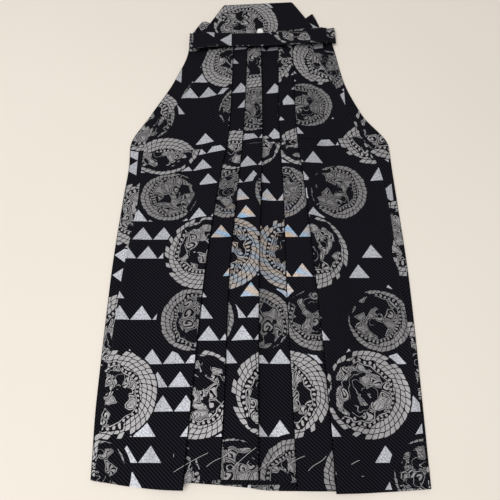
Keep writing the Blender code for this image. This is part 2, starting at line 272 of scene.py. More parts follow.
def curl_marks(flat):
    """Inked curls, fans and leaves all over the cloth, and where the cloth stays bare."""
    swirl = flat.noise(0.06, 1.0, 1).vector("SCALE", {"Scale": CURL_BEND})
    bent = flat.vector("ADD", {1: swirl})
    size = (1 / CURL_SIZE, 0.85)
    away = bent.vector("SUBTRACT", {1: bent.cells(*size, "Position")})
    edge = bent.cells(*size, "Distance", "DISTANCE_TO_EDGE")
    kind = bent.cells(*size, "Color")
    kind_red = kind.node("ShaderNodeSeparateColor", {}, {0: kind}, 0)
    kind_green = kind.node("ShaderNodeSeparateColor", {}, {0: kind}, 1)
    far, angle = far_and_angle(away.part("X"), away.part("Y"))
    curl = (angle + far * (TWO_PI / 4.4) + kind_green * TWO_PI).sine() > -0.15
    fan = (angle * 6 + far * 0.5).sine() > -0.25
    leaf = abs((far * 1.5 + edge * 26).sine()) > 0.32
    inked = leaf + ((kind_red < 0.5) * (curl - leaf)) + ((kind_red < 0.22) * (fan - curl))
    rim = (edge < 0.1) * (edge > 0.035)
    return inked.math("MAXIMUM", inked * (edge > 0.15), rim), kind_green


def roundel(u, v, marks, bare_share, radius, cell, shift, seed):
    """One kind of roundel all over the cloth: its inked lines, and the whole disc."""
    x, y, column, row = lattice(u, v, cell, shift)
    inked, patch, drift = marks
    far, angle = far_and_angle(x, y)
    far = far / radius
    turned = angle / TWO_PI + chance(column, row, seed)
    spin = (turned * TWO_PI).sine()

    # a crescent of overlapping petals round it, in rows, thick on one side
    inner_edge = 0.76 + spin * 0.14 + (drift - 0.5) * 0.35
    rows = far * (radius / PETAL_SIZE)
    wreath = rows.node("ShaderNodeCombineXYZ", {}, {"X": turned * 40 + rows / 2, "Y": rows})
    row_there = wreath.cells(1.0, 0.25, "Position").part("Y")
    round_off = wreath.cells(1.0, 0.25, "Distance")
    edge = wreath.cells(1.0, 0.25, "Distance", "DISTANCE_TO_EDGE")
    petals = (row_there < radius / PETAL_SIZE - 0.5) * (far > inner_edge)
    petals = petals * (edge > 0.075) * (round_off < 0.57)

    # a string of beads inside the crescent, and then the curls, with bare cloth between
    depth = inner_edge - far
    across_bead = (depth - 0.06) / 0.04
    beads = (turned * (TWO_PI * 36)).sine() > across_bead * across_bead * 1.4 - 0.2
    beads = (beads + (abs(depth - 0.115) < 0.01)) * (spin < 0.6)
    filled = (depth > 0.14) * (drift > bare_share) * (patch > bare_share * 0.45)
    tendril = abs((far * 17 + drift * 16 + turned * TWO_PI).sine()) < 0.13
    loose = (depth > 0.14) * (1 - filled) * tendril * (patch > 0.35)
    ink = petals + beads + filled * inked + loose
    return ink.math("MINIMUM", ink, 1.0), far < 1.02


def triangles(u, v):
    """Small triangles in short rows. Returns where they are and how bright each is."""
    x, y, column, row = lattice(u, v, TRIANGLE_CELL, TRIANGLE_SHIFT)
    group = (column / 3).floor()
    wanted = (chance(group, row, 3) > 0.42) * (chance(column, row, 9) > 0.25)
    edge = (0.5 - y / TRIANGLE_HIGH) * TRIANGLE_HALF
    inside = (abs(x) < edge) * (y > -TRIANGLE_HIGH / 2)
    return inside * wanted, chance(column, row, 5)


def cloth_place(paint):
    """The place on the flat cloth in millimetres: the vector, and its U and V."""
    flat = paint.node("ShaderNodeUVMap", {"uv_map": "cloth"}, {}).vector("SCALE", {"Scale": 1000.0})
    return flat, flat.part("X"), flat.part("Y")


def weave(flat, u, v):
    """The diagonal rib, from -1 to 1, and the grain of the yarn, from 0 to 1."""
    return ((u * 0.67 + v * 0.74) * (TWO_PI / RIB_PITCH)).sine(), flat.noise(1.1, 2.0)


def black_dye_and_rib_highlight(rib, grain):
    """How dark the black cloth is, with its yarn's grain and a painted highlight on the rib's
    ridges.
    """
    return 0.0012 + (rib + 1) * 0.0066 + (grain - 0.5) * 0.005


def printed_look(name):
    """Black ribbed cloth with the silver print."""
    look, paint = new_look(name)
    flat, u, v = cloth_place(paint)
    rib, grain = weave(flat, u, v)
    marks = (*curl_marks(flat), flat.noise(0.055, 1.5))
    # soft patches of painted sheen on the foil; they also move the rainbow's bands
    painted_sheen_patches = flat.noise(0.03, 3.0)
    glitter = flat.noise(0.6, 2.5)
    bright, bright_disc = roundel(u, v, marks, 0.46, BRIGHT_RADIUS, BRIGHT_CELL, BRIGHT_SHIFT, 1)
    dark, dark_disc = roundel(u, v, marks, 0.42, DARK_RADIUS, DARK_CELL, DARK_SHIFT, 2)
    dark = dark * (1 - bright_disc)
    small, shade = triangles(u, v)
    small = small * (1 - bright_disc) * (1 - dark_disc)
    foil = paint.math("MINIMUM", bright + dark + small, 1.0)
    silver = bright * 0.35 + dark * 0.235 + small * (0.4 + shade * 0.1)
    # foil brightness: painted sheen in soft patches, a painted highlight on the rib's ridges, and
    # its own speckle
    silver = silver * (0.86 + (glitter - 0.5) * (0.7 + small * 1.5) + painted_sheen_patches * 0.24 + rib * 0.05)
    value = paint.math("MAXIMUM", silver, black_dye_and_rib_highlight(rib, grain))

    # a faint rainbow sheen on the foil in the middle of the garment, in bands across it
    where = paint.here()
    x = (where.part("X") - SHIFT[0]) / MM
    y = (where.part("Y") - SHIFT[1]) / MM
    off_x, off_y = x / SHEEN_HALF[0], (y - SHEEN_MIDDLE_Y) / SHEEN_HALF[1]
    shine = 1 - (off_x * off_x + off_y * off_y).ease(0.15, 1.0)
    hue = (y / 2.6 + x / 8 + painted_sheen_patches * 9).sine() * shine * (foil * 0.15 + small * 0.24)
    red = value * (1 + hue - small * 0.03)
    green = value * (0.98 + small * 0.02)
    blue = value * (1.38 - foil * 0.38 - hue + small * 0.09)
    height = foil * 0.3 + (rib * 0.5 + 0.5) * 0.6 + grain * 0.35
    finish_look(
        paint,
        {"Specular IOR Level": 0.02},
        {
            "Base Color": paint.colour(red, green, blue),
            "Roughness": 0.82 - foil * 0.34,
            "Metallic": foil * 0.3,
            "Normal": height.bump(*RIB_BUMP),
        },
    )
    return look


def plain_look(name, dye_and_shade):
    """The same cloth without print, for linings, bands and the reverse; darker, as painted shade.
    """
    look, paint = new_look(name)
    flat, u, v = cloth_place(paint)
    rib, grain = weave(flat, u, v)
    value = black_dye_and_rib_highlight(rib, grain) * dye_and_shade
    height = (rib * 0.5 + 0.5) * 0.6 + grain * 0.4
    finish_look(
        paint,
        {"Specular IOR Level": 0.02, "Roughness": 0.85},
        {"Base Color": paint.colour(value, value, value * 1.35), "Normal": height.bump(*RIB_BUMP)},
    )
    return look


printed = printed_look("printed_cloth")
plain = plain_look("plain_cloth", 1.0)
# much darker plain cloth for the legs' folds and rims: painted shade
fold_shade_look = plain_look("painted_fold_shade", 0.2)

# The legs. Each leg is a front and a back panel of printed cloth, pleated and pressed flat: three
# pleats on the front of the right leg and two on the left, and one deep pleat in each back. The
# back panel turns forward at the side, and the front panel's edge is sewn down on it.
CLOTH = 0.4  # thickness of the cloth
WALL = 1.05  # room for a layer of cloth in the laid pile
GAP = 0.3
PITCH = WALL + GAP
BEND = PITCH / 2  # radius of a fold
SLOPE = 0.3  # how steeply cloth comes down beside an edge below it
SOFT_EDGE = 3
SMOOTH_OVER = 4
SHARP_ANGLE = math.radians(50)
SIDE_LAP = 8  # how far the back's strip goes under the front's edge
SEAM_IN = 8
PLEAT_SHARE = 0.9  # how much of the panel above it a pleat's hidden fold reaches under
OUTER_SHARE = 0.8  # depth of an outermost pleat, as a share of the panel beside it
GUSSET_TOP = 350
GUSSET_FADE = (345, 385)  # the gussets' height in the pile dies out between these
HEM_REACH = 120  # the hem's steps die out over this
FOLD_REACH = 12  # the cloth gives way this far from a fold
COLUMN_STEP = 2.8
HEM_TURN = 21  # the hem is turned up inside this far, so the cloth is double there
WAIST_Y = 582

# The outline and the folds by distance from the hem: right side, right edge of the front, folds
# A, B, C, D and E, left edge of the front, left side
SHAPE = np.array(
    (
        (0, -174, -170, -79, -42, -3, 35, 74, 168, 171),
        (85, -177, -169, -74, -39, -2.5, 33, 71, 169, 173),
        (220, -176, -163, -65, -36, -1, 30, 64, 164, 175),
        (330, -171, -152, -53, -28, 2, 29.5, 57, 160, 172),
        (378, -168, -151, -46, -24, 3.5, 28, 53, 152, 170.5),
        (405, -169, -150, -41, -21.5, 4.5, 27, 50, 139, 170),
        (457, -145, -120, -37.5, -19, 5, 26, 48, 122, 139),
        (513, -117, -91, -36, -17, 4.5, 27, 48, 102, 118),
        (566, -100, -72, -35, -16, 4, 28, 48, 80, 109),
        (600, -98, -67, -35, -16, 4, 28, 48, 77, 103),
    )
)
# Distances from the hem, and how much the rows of the cloth slant there
SLANTS = (
    (220, 290, 345, 385, 407, 440, 475, 520, 556, 582),
    (0, 0.01, 0.03, 0.07, 0.09, 0.09, 0.08, 0.07, 0.065, 0.06),
)

# The shared lines, from the wearer's right to the left. A run of cloth goes from one to another.
LINES = (
    "side_r edge_r strip_r sag_r1 sag_r2 under_a back_in_r fold_a under_b back_fold_r fold_b "
    "under_c seam fold_c fold_d back_fold_l under_d fold_e back_in_l under_e sag_l2 sag_l1 "
    "strip_l edge_l side_l"
).split()

# The runs from the lowest up: start, end, how far the hem is raised at both, and its curve
RUNS = {
    "back_r_outer": ("side_r", "back_fold_r", 8, 7, 1),
    "back_l_outer": ("side_l", "back_fold_l", 0, -2, 1),
    "back_r_return": ("back_fold_r", "back_in_r", 7, 7, 1),
    "back_l_return": ("back_fold_l", "back_in_l", -2, -2, 1),
    "back_r_inner": ("back_in_r", "seam", 7, 0.8, 1.2),
    "back_l_inner": ("back_in_l", "seam", -2, 0.8, 8),
    "back_r_strip": ("strip_r", "side_r", 6, 8, 1),
    "back_l_strip": ("strip_l", "side_l", 0, 0, 1),
    "gusset_r_lower": ("seam", "fold_b", 4, 4, 1),
    "gusset_r_upper": ("fold_b", "seam", 4, 4, 1),
    "gusset_l_lower": ("seam", "fold_d", 4, 4, 1),
    "gusset_l_upper": ("fold_d", "seam", 4, 4, 1),
    "front_r_centre": ("seam", "under_c", 9, 9, 1),
    "front_l_centre": ("seam", "under_d", 9, 4, 1),
    "return_c": ("under_c", "fold_c", 9, 9, 1),
    "panel_bc": ("fold_c", "under_b", 9, 9, 1),
    "return_b": ("under_b", "fold_b", 9, 9, 1),
    "panel_ab": ("fold_b", "under_a", 9, 2, 1),
    "return_a": ("under_a", "fold_a", 2, -1, 1),
    "front_r_outer": ("fold_a", "edge_r", -1, 8, 2),
    "return_d": ("under_d", "fold_d", 4, 0, 1),
    "panel_de": ("fold_d", "under_e", 0, -2, 1),
    "return_e": ("under_e", "fold_e", -2, -4, 1),
    "front_l_outer": ("fold_e", "edge_l", -4, 0, 2),
}
# The runs of each sheet in their order along the cloth
PATHS = {
    "back_right_leg": "back_r_strip back_r_outer back_r_return back_r_inner",
    "back_left_leg": "back_l_strip back_l_outer back_l_return back_l_inner",
    "gusset_right": "gusset_r_lower gusset_r_upper",
    "gusset_left": "gusset_l_lower gusset_l_upper",
    "front_right_leg": "front_r_centre return_c panel_bc return_b panel_ab return_a front_r_outer",
    "front_left_leg": "front_l_centre return_d panel_de return_e front_l_outer",
}

# The length tuck: a lap across both fronts, given as moves along the cloth and up from it
TUCK_Y = 409
TUCK_DEEP = 5
TUCK_LEVEL = 0.42
TUCK_TURN = TUCK_LEVEL / 2
TUCK_FADE = (413, 475)  # above the lap the cloth comes down again between these
turn = np.radians((-60, -20, 20, 60))
TUCK_MOVES = np.array(
    [(0, 0), (TUCK_DEEP / 2, 0), (TUCK_DEEP, 0)]
    + [(TUCK_DEEP + TUCK_TURN * math.cos(a), TUCK_TURN * (1 + math.sin(a))) for a in turn]
    + [(TUCK_DEEP, TUCK_LEVEL), (TUCK_DEEP / 2, TUCK_LEVEL), (0, TUCK_LEVEL)]
    + [(-TUCK_TURN * math.cos(a), TUCK_TURN * (3 + math.sin(a))) for a in turn]
    + [(0, 2 * TUCK_LEVEL), (TUCK_DEEP / 2, 2 * TUCK_LEVEL), (TUCK_DEEP, 2 * TUCK_LEVEL)]
)
TUCK_HIDDEN = 34  # cloth taken up by the tuck, as far as the print shows
ROW_STEP = 4.3
below = np.linspace(0, TUCK_Y - 0.6, round(TUCK_Y / ROW_STEP))
lap = TUCK_Y + np.linspace(0, 0.3, len(TUCK_MOVES))
above = np.linspace(TUCK_Y + 3, WAIST_Y, round((WAIST_Y - TUCK_Y) / ROW_STEP))
ROW_Y = np.concatenate((below, lap, above))
ROW_MOVE = np.zeros((len(ROW_Y), 2))
after_lap = len(below) + len(lap)
ROW_MOVE[len(below) : after_lap] = TUCK_MOVES
ROW_MOVE[after_lap:, 1] = np.interp(above, TUCK_FADE, (TUCK_MOVES[-1, 1], 0))
ROW_MOVE[after_lap, 0] = TUCK_DEEP
ROW_HIDDEN = np.where(ROW_Y < TUCK_Y, 0.0, TUCK_HIDDEN)
ROW_SLANT = np.interp(ROW_Y, *SLANTS)


def smooth_through(at, xs, ys):
    """A curve through points that never swings past them."""
    steps = np.diff(xs)
    slopes = np.diff(ys) / steps
    tangents = np.zeros(len(xs))
    tangents[0], tangents[-1] = slopes[0], slopes[-1]
    for k in range(1, len(xs) - 1):
        if slopes[k - 1] * slopes[k] > 0:
            early, late = 2 * steps[k] + steps[k - 1], steps[k] + 2 * steps[k - 1]
            tangents[k] = (early + late) / (early / slopes[k - 1] + late / slopes[k])
    k = np.clip(np.searchsorted(xs, at) - 1, 0, len(steps) - 1)
    t = (at - xs[k]) / steps[k]
    return (
        (1 + 2 * t) * (1 - t) ** 2 * ys[k]
        + t * (1 - t) ** 2 * steps[k] * tangents[k]
        + t * t * (3 - 2 * t) * ys[k + 1]
        + t * t * (t - 1) * steps[k] * tangents[k + 1]
    )


def lines_at(y):
    """X of every shared line, at distances y from the hem that differ from line to line."""
    side_r, edge_r, a, b, c, d, e, edge_l, side_l = (
        smooth_through(y, SHAPE[:, 0], column) for column in SHAPE.T[1:]
    )
    strip_r, strip_l = edge_r + SIDE_LAP, edge_l - SIDE_LAP
    under_a, under_e = a - OUTER_SHARE * (b - a), e + OUTER_SHARE * (e - d)
    under_b, under_d = b - PLEAT_SHARE * (b - a), d + PLEAT_SHARE * (e - d)
    under_c, seam = c - PLEAT_SHARE * (c - b), c - SEAM_IN
    sag_r, sag_l = under_a - strip_r, strip_l - under_e
    return np.stack(
        (
            side_r, edge_r, strip_r, strip_r + 0.25 * sag_r, strip_r + 0.75 * sag_r, under_a,
            (under_a + a) / 2, a, under_b, (under_b + b) / 2, b, under_c, seam, c, d,
            (d + under_d) / 2, under_d, e, (e + under_e) / 2, under_e, under_e + 0.25 * sag_l,
            under_e + 0.75 * sag_l, strip_l, edge_l, side_l,
        ),
        axis=-1,
    )


def columns_of_rows(step):
    """X of fine columns between the shared lines for every row, and each line's column."""
    count = len(LINES)
    true_y = ROW_Y[:, None] + ROW_SLANT[:, None] * lines_at(ROW_Y)
    line_x = np.stack([lines_at(true_y[:, i])[:, i] for i in range(count)], axis=1)
    widest = abs(np.diff(line_x, axis=1)).max(axis=0)
    columns, index = [], [0]
    for i, wide in enumerate(widest):
        parts = max(1, math.ceil(wide / step))
        for k in range(parts):
            columns.append(line_x[:, i] + (line_x[:, i + 1] - line_x[:, i]) * k / parts)
        index.append(index[-1] + parts)
    columns.append(line_x[:, -1])
    return np.stack(columns, axis=1), dict(zip(LINES, index))


def lay_pile(x, index):
    """Lays every run on those below it. Returns the height of each run's cloth."""
    top = np.full(x.shape, -GAP)
    gusset_here = np.interp(ROW_Y, GUSSET_FADE, (1, 0))[:, None]
    heights = {}
    for name, (start, end, *_) in RUNS.items():
        first, last = sorted((index[start], index[end]))
        span = slice(first, last + 1)
        apart = abs(x[:, span, None] - x[:, None, span])
        fall = SLOPE * (np.sqrt(apart**2 + SOFT_EDGE**2) - SOFT_EDGE)
        under = (top[:, None, span] + GAP - fall).max(axis=2)
        near = np.exp(-((apart / SMOOTH_OVER) ** 2))
        under = np.maximum(under, (near * under[:, None, :]).sum(axis=2) / near.sum(axis=2))
        heights[name] = under + WALL / 2
        if name.startswith("gusset"):
            top[:, span] += gusset_here * (under + WALL - top[:, span])
        else:
            top[:, span] = under + WALL
    return heights


pile_x, pile_index = columns_of_rows(COLUMN_STEP)
pile_heights = lay_pile(pile_x, pile_index)

# Creases of use and storage: from, to, half width, and height, less than 0 for a trough
CREASES = (
    (-176, 198, -60, 196, 5, -0.5),
    (-60, 196, 95, 198, 5, -0.6),
    (-150, 262, -95, 330, 9, 0.5),
    (95, 250, 150, 300, 10, 0.5),
    (60, 432, 150, 396, 7, 0.9),
    (85, 450, 128, 430, 6, -0.6),
    (-140, 442, -104, 400, 7, 0.6),
    (-160, 392, -120, 380, 6, -0.5),
    (-110, 120, -92, 40, 12, 0.5),
    (100, 150, 130, 60, 14, 0.6),
    (-30, 120, -24, 60, 7, 0.35),
    (14, 300, 18, 240, 7, 0.35),
    (-58, 330, -52, 250, 7, 0.4),
)


def crease(points):
    """Adds the soft waves and creases to laid cloth, more to the layers that lie higher."""
    x, y = points[..., 0], points[..., 1]
    wave = 0.16 * np.sin(x / 23 + y / 61) + 0.14 * np.sin(x / 37 - y / 43 + 1)
    wave += 0.1 * np.sin(x / 14 + 2 * np.sin(y / 70))
    for x0, y0, x1, y1, half, height in CREASES:
        along = np.array((x1 - x0, y1 - y0), float)
        length = math.hypot(*along)
        along /= length
        t = np.clip((x - x0) * along[0] + (y - y0) * along[1], 0, length)
        away = np.hypot(x - x0 - t * along[0], y - y0 - t * along[1])
        fade = np.clip(np.minimum(t, length - t) / (0.3 * length), 0.25, 1)
        wave += height * fade * np.exp(-((away / half) ** 2))
    points[..., 2] += wave * np.clip((points[..., 2] - 0.6) / 5, 0, 1)


def join_runs(runs):
    """Joins runs of cloth, rows by points, with rounded folds. Also each column's run and
    whether it is in a fold."""
    columns, owners, folded = [], [], []
    for k, run in enumerate(runs):
        columns.append(run)
        owners += [k] * run.shape[1]
        folded += [False] * run.shape[1]
        if k < len(runs) - 1:
            start, end = run[:, -1], runs[k + 1][:, 0]
            way = np.sign(run[0, -1, 0] - run[0, 0, 0])
            bend = []
            for angle in np.radians((-62, -32, 0, 32, 62)):
                point = (start + end) / 2
                point[:, 0] += way * BEND * math.cos(angle)
                point[:, 2] += (end[:, 2] - start[:, 2]) / 2 * math.sin(angle)
                bend.append(point)
            columns.append(np.stack(bend, axis=1))
            owners += [k, k, k, k + 1, k + 1]
            folded += [True] * len(bend)
    return np.concatenate(columns, axis=1), np.array(owners), np.array(folded)


def quads(number):
    """The faces between the points of a grid, given the grid of their numbers."""
    corners = (number[:-1, :-1], number[:-1, 1:], number[1:, 1:], number[1:, :-1])
    return np.stack(corners, axis=-1).reshape(-1, 4)


def mesh_piece(name, corners, faces, uvs, looks):
    """A smooth piece from places, faces and the place of each face's corners on the cloth."""
    mesh = bpy.data.meshes.new(name)
    mesh.from_pydata(place(corners), [], faces.tolist())
    mesh.polygons.foreach_set("use_smooth", np.ones(len(faces), bool))
    mesh.uv_layers.new(name="cloth").data.foreach_set("uv", uvs.reshape(-1) * MM)
    for look in looks:
        mesh.materials.append(look)
    return add_object(name, mesh)


def cloth_piece(name, grid, thick, uv_left, uv_right, side, looks, turned_rows=0, folded=None):
    """A closed thin cloth on a grid of places. The looks are for its right side, its reverse
    and, the last one, its rim and its folds. Turned rows show the right side below too, and
    side is 1 where the right side looks up."""
    across = np.gradient(grid, axis=1)
    along = np.gradient(grid, axis=0)
    normal = np.cross(across, along)
    normal /= np.maximum(np.linalg.norm(normal, axis=-1, keepdims=True), 1e-9)
    normal *= side
    half = np.broadcast_to(np.asarray(thick, float), grid.shape[:2])[..., None] / 2
    rows, columns = grid.shape[:2]
    corners = np.concatenate((grid + normal * half, grid - normal * half)).reshape(-1, 3)
    number = np.arange(rows * columns).reshape(rows, columns)
    face = quads(number)
    uv = np.stack((uv_left[:-1], uv_right[:-1], uv_right[1:], uv_left[1:]), axis=2)
    uv = uv.reshape(-1, 4, 2)
    back = face[:, ::-1] + rows * columns
    back_uv = uv[:, ::-1]
    if side < 0:
        face, uv, back, back_uv = face[:, ::-1], uv[:, ::-1], back[:, ::-1], back_uv[:, ::-1]
    rim = np.concatenate((number[0], number[1:, -1], number[-1, -2::-1], number[-2:0:-1, 0]))
    after = np.roll(rim, -1)
    skirt = np.stack((after, rim, rim + rows * columns, after + rows * columns), axis=-1)
    if side < 0:
        skirt = skirt[:, ::-1]
    faces = np.concatenate((face, back, skirt))
    uvs = np.concatenate((uv, back_uv, np.zeros((len(skirt), 4, 2))))
    piece = mesh_piece(name, corners, faces, uvs, looks)
    which = np.repeat((0, 1, len(looks) - 1), (len(face), len(back), len(skirt)))
    which[len(face) : len(face) + turned_rows * (columns - 1)] = 0
    # faces at a fold take the last look, which on the legs is the painted shade
    if folded is not None:
        at_fold = np.tile(folded[:-1] | folded[1:], rows - 1)
        which[: len(face)][at_fold] = len(looks) - 1
    piece.data.polygons.foreach_set("material_index", which)
    piece.data.set_sharp_from_angle(angle=SHARP_ANGLE)
    return piece


def leg_run(sheet, name, rows):
    """The laid places of one run, in the direction of its sheet's path."""
    start, end, hem_start, hem_end, bow = RUNS[name]
    first, last = pile_index[start], pile_index[end]
    step = 1 if last > first else -1
    picked = np.arange(first, last + step, step)
    x = pile_x[:rows, picked]
    height = pile_heights[name][:rows, picked - min(first, last)]
    path = PATHS[sheet].split()
    tips = [0 if name == path[0] else 1, 0 if name == path[-1] else 1]
    reach = BEND + CLOTH / 2
    from_start, from_end = abs(x - x[:, :1]), abs(x - x[:, -1:])
    moved = x + step * reach * tips[0] * np.clip(1 - from_start / FOLD_REACH, 0, 1)
    moved -= step * reach * tips[1] * np.clip(1 - from_end / FOLD_REACH, 0, 1)
    for free, k, line in ((not tips[0], 0, start), (not tips[1], -1, end)):
        if free and line == "seam":
            moved[:, k] += (-1 if "right" in sheet else 1) * GAP / 2
    for i in range(rows):
        order = slice(None, None, step)
        height[i] = np.interp(moved[i], x[i][order], height[i][order])
    share = ((x - x[:, :1]) / (x[:, -1:] - x[:, :1])) ** bow
    hem = hem_start + (hem_end - hem_start) * share
    y = ROW_Y[:rows, None] + ROW_SLANT[:rows, None] * moved
    y = y + hem * np.clip(1 - ROW_Y[:rows, None] / HEM_REACH, 0, None)
    places = np.stack((moved, y, height), axis=-1)
    if "front" in sheet:
        places[..., 1] += ROW_MOVE[:rows, :1]
        places[..., 2] += ROW_MOVE[:rows, 1:]
    return places


STRIP_PRINT = (85, -58)  # where the print starts on the back panels' strips
STRIP_SCALE = 0.97


def leg_sheet(sheet, looks, rows):
    """One pleated sheet of a leg, with the print's place on its flat cloth. The strip that a back
    panel turns to the front has its print lying on its side."""
    runs = [leg_run(sheet, name, rows) for name in PATHS[sheet].split()]
    grid, owners, folded = join_runs(runs)
    side = 1 if "right" in sheet else -1
    slope, base = [], []
    for run in runs:
        fold_x = run[0, 0, 0]
        slope.append(-np.sign(run[0, -1, 0] - fold_x) * side)
        base.append(slope[-2] * fold_x + base[-1] - slope[-1] * fold_x if base else 0.0)
    owner = owners[:-1]
    slope, base = np.array(slope)[owner], np.array(base)[owner]
    flat_v = grid[..., 1] - ROW_SLANT[:rows, None] * grid[..., 0]
    if "front" in sheet:
        flat_v = flat_v + ROW_HIDDEN[:rows, None]
    on_strip = (owner == 0) & sheet.startswith("back")
    ends = []
    for span in (slice(None, -1), slice(1, None)):
        u, v = slope * grid[:, span, 0] + base, flat_v[:, span]
        strip_u, strip_v = v * STRIP_SCALE + STRIP_PRINT[0], STRIP_PRINT[1] - u
        u, v = np.where(on_strip, strip_u, u), np.where(on_strip, strip_v, v)
        ends.append(np.stack((u, v), axis=-1))
    crease(grid)
    grid[..., 2] = np.maximum(grid[..., 2], CLOTH / 2)
    double = 1 + 0.9 * np.clip((HEM_TURN + 1 - ROW_Y[:rows, None]) / 2, 0, 1)
    turned_rows = int((ROW_Y < HEM_TURN).sum())
    return cloth_piece(sheet, grid, CLOTH * double, *ends, -side, looks, turned_rows, folded)


GUSSET_ROWS = int((ROW_Y <= GUSSET_TOP - 3).sum())
LEG_FLAT = {
    "back_right_leg": (0.27, 0.6),
    "back_left_leg": (0.27, 0.6),
    "front_right_leg": (0.355, 0.64),
    "front_left_leg": (0.3, 0.64),
    "gusset_right": (0.07, 0.345),
    "gusset_left": (0.09, 0.345),
}
legs = {}
for sheet, flat in LEG_FLAT.items():
    is_gusset = sheet.startswith("gusset")
    rows = GUSSET_ROWS if is_gusset else len(ROW_Y)
    # the last look darkens the rims and folds of the legs, as painted shade
    looks = (plain, plain) if is_gusset else (printed, plain, fold_shade_look)
    piece = legs[sheet] = leg_sheet(sheet, looks, rows)
    piece.name = sheet + "_cloth"
    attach(piece, "root")
    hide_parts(sheet)

# The back board. A stiff trapezoid of card covered with the printed cloth, its foot on the
# back of the waist; it stands behind the wearer's waist and here lies flat above the ties.
BOARD_TOP_Y = 653
BOARD_TOP_HALF = 50.5
BOARD_FOOT_HALF = 91.5
BOARD_UNDER = 2 * PITCH
BOARD_THICK = 4
BOARD_SLANT = 0.06
BOARD_PRINT = (112, -519)  # moves the print to its place on the board


def rounded_slab(name, width, length, corner, rim, low, thick, crown, shape, looks, print_at):
    """A slab with rounded corners and rims. `shape` moves its flat places where they belong."""
    edge = rim * (1 - np.cos(np.linspace(0, math.pi / 2, 6)))

    def stations(size):
        inner = np.linspace(rim, size - rim, max(4, round(size / 3)))
        return np.concatenate((edge[:-1], inner, (size - edge[:-1])[::-1]))

    x, y = np.meshgrid(stations(width) - width / 2, stations(length) - length / 2)
    inset = np.minimum(width / 2 - abs(x), length / 2 - abs(y))
    dx = abs(x) - (width / 2 - corner)
    dy = abs(y) - (length / 2 - corner)
    both = (dx > 0) & (dy > 0)
    far = np.where(both, np.maximum(dx, dy) / np.maximum(np.hypot(dx, dy), 1e-9), 1)
    x = np.where(both, np.sign(x) * (width / 2 - corner + dx * far), x)
    y = np.where(both, np.sign(y) * (length / 2 - corner + dy * far), y)
    rise = np.sqrt(1 - (1 - np.clip(inset / rim, 0, 1)) ** 2)
    bulge = crown * (1 - (2 * x / width) ** 2) * (1 - (2 * y / length) ** 2)
    top = low + thick / 2 + rise * thick / 2 + bulge
    bottom = low + thick / 2 - rise * thick / 2
    rows, columns = x.shape
    flat_x, flat_y = shape(x, y)
    faces_up = np.stack((flat_x, flat_y, top), -1).reshape(-1, 3)
    faces_down = np.stack((flat_x, flat_y, bottom), -1).reshape(-1, 3)
    corners = np.concatenate((faces_up, faces_down))
    number = np.arange(rows * columns).reshape(rows, columns)
    # the two sides share their outer ring, and the lower one is turned to face down
    low_number = number.copy()
    low_number[1:-1, 1:-1] += rows * columns
    faces = np.concatenate((quads(number), quads(low_number)[:, (0, 3, 2, 1)]))
    used = np.unique(faces)
    renumber = np.zeros(len(corners), int)
    renumber[used] = np.arange(len(used))
    flat = np.stack((flat_x, flat_y), -1).reshape(-1, 2) + print_at
    uvs = np.concatenate((flat, flat))[faces.reshape(-1)]
    return mesh_piece(name, corners[used], renumber[faces], uvs, looks)


board_low_y = WAIST_Y + GAP
board_length = BOARD_TOP_Y - board_low_y


def board_shape(x, y):
    """Draws the slab in towards its top, and slants it as the waist slants."""
    up = y / board_length + 0.5
    half = BOARD_FOOT_HALF + (BOARD_TOP_HALF - BOARD_FOOT_HALF) * up
    x = x * half / BOARD_FOOT_HALF
    return x, board_low_y + up * board_length + BOARD_SLANT * x


board = rounded_slab(
    "back_board_cover", 2 * BOARD_FOOT_HALF, board_length, 4, 2, BOARD_UNDER, BOARD_THICK, 0.4,
    board_shape, (printed,), BOARD_PRINT,
)
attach(board, "root")
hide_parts("back_board")

# The tongue. A moulded white plastic spatula sewn to the board, which tucks behind the sash and
# keeps the board up; only its end shows above the ties.
TONGUE_WIDTH = 8
TONGUE_HIGH_Y = 602
TONGUE_THICK = 1.4
plastic, paint = new_look("white_plastic")
mottle = paint.here().noise(900.0, 3.0)
finish_look(
    paint,
    {"Specular IOR Level": 0.4, "Coat Roughness": 0.2},
    {
        "Base Color": mottle.between((0.78, 0.78, 0.76, 1), (0.86, 0.86, 0.84, 1)),
        "Roughness": 0.34 + mottle * 0.1,
        "Normal": mottle.bump(0.2, 0.00005),
    },
)


def tongue_shape(x, y):
    """Moves the slab to where the tongue lies."""
    return x + TONGUE_MIDDLE_X, y + (TONGUE_LOW_Y + TONGUE_HIGH_Y) / 2


tongue = rounded_slab(
    "tongue", TONGUE_WIDTH, TONGUE_HIGH_Y - TONGUE_LOW_Y, 3, 0.6,
    BOARD_UNDER + BOARD_THICK + GAP, TONGUE_THICK, 0.0, tongue_shape, (plastic,), (0, 0),
)
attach(tongue, "root")
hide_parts("board_spatula")

